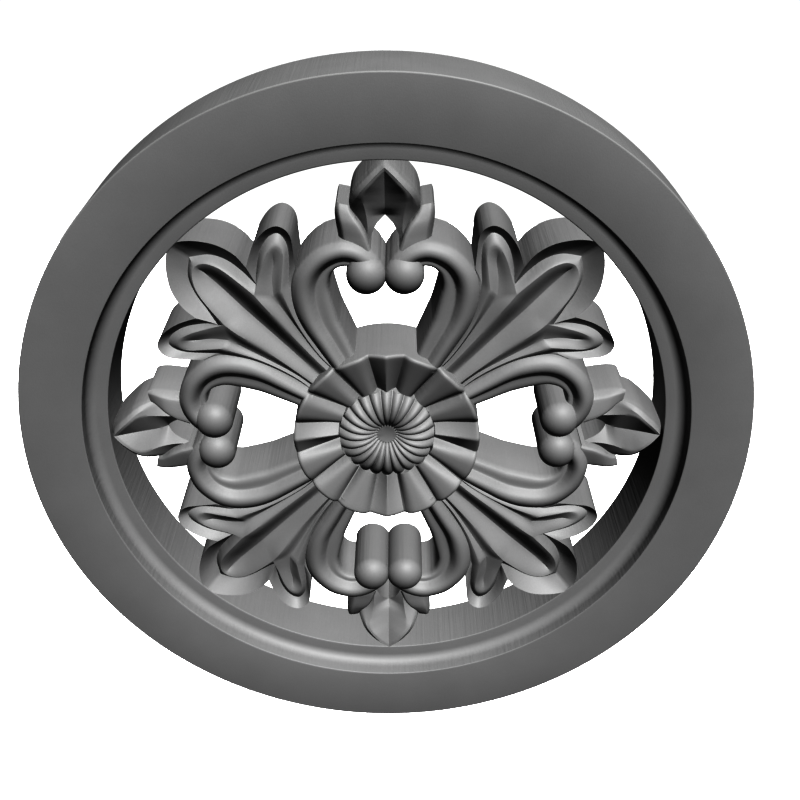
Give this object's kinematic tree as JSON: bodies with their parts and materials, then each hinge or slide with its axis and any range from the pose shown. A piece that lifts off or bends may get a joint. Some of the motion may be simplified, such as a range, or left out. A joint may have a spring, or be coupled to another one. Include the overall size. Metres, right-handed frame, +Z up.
{
  "type": "carved rosette",
  "caption": "Round openwork carved rosette: a moulded ring around a ribbed hub, scroll arms with folded petals, and three-lobed corner leaves, with a flat back.",
  "frame": {"origin": "centre of the flat back", "axes": "+Z up, +X across, +Y out of the flat back towards the wall; the carving faces -Y"},
  "size_m": [0.22, 0.0253, 0.22],
  "materials": {
    "rosette": "satin grey paint"
  },
  "bodies": {
    "root": {"rosette": "rosette"}
  },
  "joints": []
}
